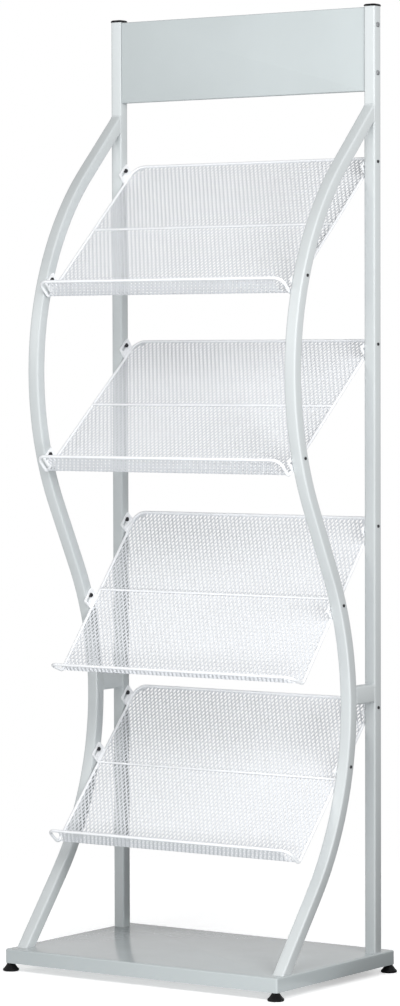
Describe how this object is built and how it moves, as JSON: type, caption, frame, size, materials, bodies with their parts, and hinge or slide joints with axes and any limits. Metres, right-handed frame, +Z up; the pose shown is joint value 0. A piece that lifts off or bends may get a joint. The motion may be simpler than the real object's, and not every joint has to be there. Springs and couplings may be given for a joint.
{
  "type": "periodical display rack",
  "caption": "Tall floor-standing periodical rack: S-curved tube sides on a flat base, sloping mesh trays with upturned lips, and a plain header panel.",
  "frame": {"origin": "on the floor under the middle of the base", "axes": "+X to the right of someone facing the rack, +Y to the back, +Z up"},
  "size_m": [0.5414, 0.3536, 1.55],
  "materials": {
    "silver_paint": "satin powder coat, pale silver grey",
    "base_paint": "semi-gloss powder coat, pale silver grey",
    "header_paint": "satin powder coat, pale grey",
    "white_coat": "satin white powder coat",
    "black_plastic": "matt moulded",
    "dark_steel": "blackened",
    "bright_zinc": "zinc plated"
  },
  "bodies": {
    "stand": {"left_upright": "silver_paint", "left_front_tube": "silver_paint", "left_brace": "silver_paint", "left_top_cap": "black_plastic", "right_upright": "silver_paint", "right_front_tube": "silver_paint", "right_brace": "silver_paint", "right_top_cap": "black_plastic", "header_panel": "header_paint", "left_lower_header_screw": "bright_zinc", "left_upper_header_screw": "bright_zinc", "right_lower_header_screw": "bright_zinc", "right_upper_header_screw": "bright_zinc", "base_pan": "base_paint", "front_left_base_bolt": "dark_steel", "rear_left_base_bolt": "dark_steel", "front_right_base_bolt": "dark_steel", "rear_right_base_bolt": "dark_steel", "bottom_tray_rear_left_bolt": "dark_steel", "bottom_tray_front_left_bolt": "dark_steel", "bottom_tray_rear_right_bolt": "dark_steel", "bottom_tray_front_right_bolt": "dark_steel", "lower_tray_rear_left_bolt": "dark_steel", "lower_tray_front_left_bolt": "dark_steel", "lower_tray_rear_right_bolt": "dark_steel", "lower_tray_front_right_bolt": "dark_steel", "upper_tray_rear_left_bolt": "dark_steel", "upper_tray_front_left_bolt": "dark_steel", "upper_tray_rear_right_bolt": "dark_steel", "upper_tray_front_right_bolt": "dark_steel", "top_tray_rear_left_bolt": "dark_steel", "top_tray_front_left_bolt": "dark_steel", "top_tray_rear_right_bolt": "dark_steel", "top_tray_front_right_bolt": "dark_steel"},
    "top_tray": {"top_tray_deck": "white_coat", "top_tray_lip": "white_coat", "top_tray_frame": "white_coat", "top_tray_middle_wire": "white_coat"},
    "upper_tray": {"upper_tray_deck": "white_coat", "upper_tray_lip": "white_coat", "upper_tray_frame": "white_coat", "upper_tray_middle_wire": "white_coat"},
    "lower_tray": {"lower_tray_deck": "white_coat", "lower_tray_lip": "white_coat", "lower_tray_frame": "white_coat", "lower_tray_middle_wire": "white_coat"},
    "bottom_tray": {"bottom_tray_deck": "white_coat", "bottom_tray_lip": "white_coat", "bottom_tray_frame": "white_coat", "bottom_tray_middle_wire": "white_coat"},
    "front_left_foot": {"front_left_foot_pad": "black_plastic"},
    "front_left_stem": {"front_left_foot_stem": "bright_zinc"},
    "front_right_foot": {"front_right_foot_pad": "black_plastic"},
    "front_right_stem": {"front_right_foot_stem": "bright_zinc"},
    "rear_left_foot": {"rear_left_foot_pad": "black_plastic"},
    "rear_left_stem": {"rear_left_foot_stem": "bright_zinc"},
    "rear_right_foot": {"rear_right_foot_pad": "black_plastic"},
    "rear_right_stem": {"rear_right_foot_stem": "bright_zinc"}
  },
  "joints": [
    {"name": "top_tray_slide", "type": "slide", "parent": "stand", "child": "top_tray", "axis": [0, 0.7431, 0.6691], "range_m": [0, 0.011]},
    {"name": "upper_tray_slide", "type": "slide", "parent": "stand", "child": "upper_tray", "axis": [0, 0.766, 0.6428], "range_m": [0, 0.011]},
    {"name": "lower_tray_slide", "type": "slide", "parent": "stand", "child": "lower_tray", "axis": [0, 0.6428, 0.766], "range_m": [0, 0.011]},
    {"name": "bottom_tray_slide", "type": "slide", "parent": "stand", "child": "bottom_tray", "axis": [0, 0.682, 0.7314], "range_m": [0, 0.011]},
    {"name": "front_left_foot_height", "type": "slide", "parent": "stand", "child": "front_left_foot", "axis": [0, 0, -1], "range_m": [0, 0.01]},
    {"name": "front_left_stem_turn", "type": "hinge", "parent": "front_left_foot", "child": "front_left_stem", "pos_m": [-0.2575, -0.1635, 0.015], "axis": [0, 0, -1], "range_deg": [0, 3600]},
    {"name": "front_right_foot_height", "type": "slide", "parent": "stand", "child": "front_right_foot", "axis": [0, 0, -1], "range_m": [0, 0.01]},
    {"name": "front_right_stem_turn", "type": "hinge", "parent": "front_right_foot", "child": "front_right_stem", "pos_m": [0.2575, -0.1635, 0.015], "axis": [0, 0, -1], "range_deg": [0, 3600]},
    {"name": "rear_left_foot_height", "type": "slide", "parent": "stand", "child": "rear_left_foot", "axis": [0, 0, -1], "range_m": [0, 0.01]},
    {"name": "rear_left_stem_turn", "type": "hinge", "parent": "rear_left_foot", "child": "rear_left_stem", "pos_m": [-0.2575, 0.1635, 0.015], "axis": [0, 0, -1], "range_deg": [0, 3600]},
    {"name": "rear_right_foot_height", "type": "slide", "parent": "stand", "child": "rear_right_foot", "axis": [0, 0, -1], "range_m": [0, 0.01]},
    {"name": "rear_right_stem_turn", "type": "hinge", "parent": "rear_right_foot", "child": "rear_right_stem", "pos_m": [0.2575, 0.1635, 0.015], "axis": [0, 0, -1], "range_deg": [0, 3600]}
  ],
  "couplings": [
    {"joint": "front_left_stem_turn", "follows": "front_left_foot_height", "rad_per_m": 6283.2},
    {"joint": "front_right_stem_turn", "follows": "front_right_foot_height", "rad_per_m": 6283.2},
    {"joint": "rear_left_stem_turn", "follows": "rear_left_foot_height", "rad_per_m": 6283.2},
    {"joint": "rear_right_stem_turn", "follows": "rear_right_foot_height", "rad_per_m": 6283.2}
  ]
}
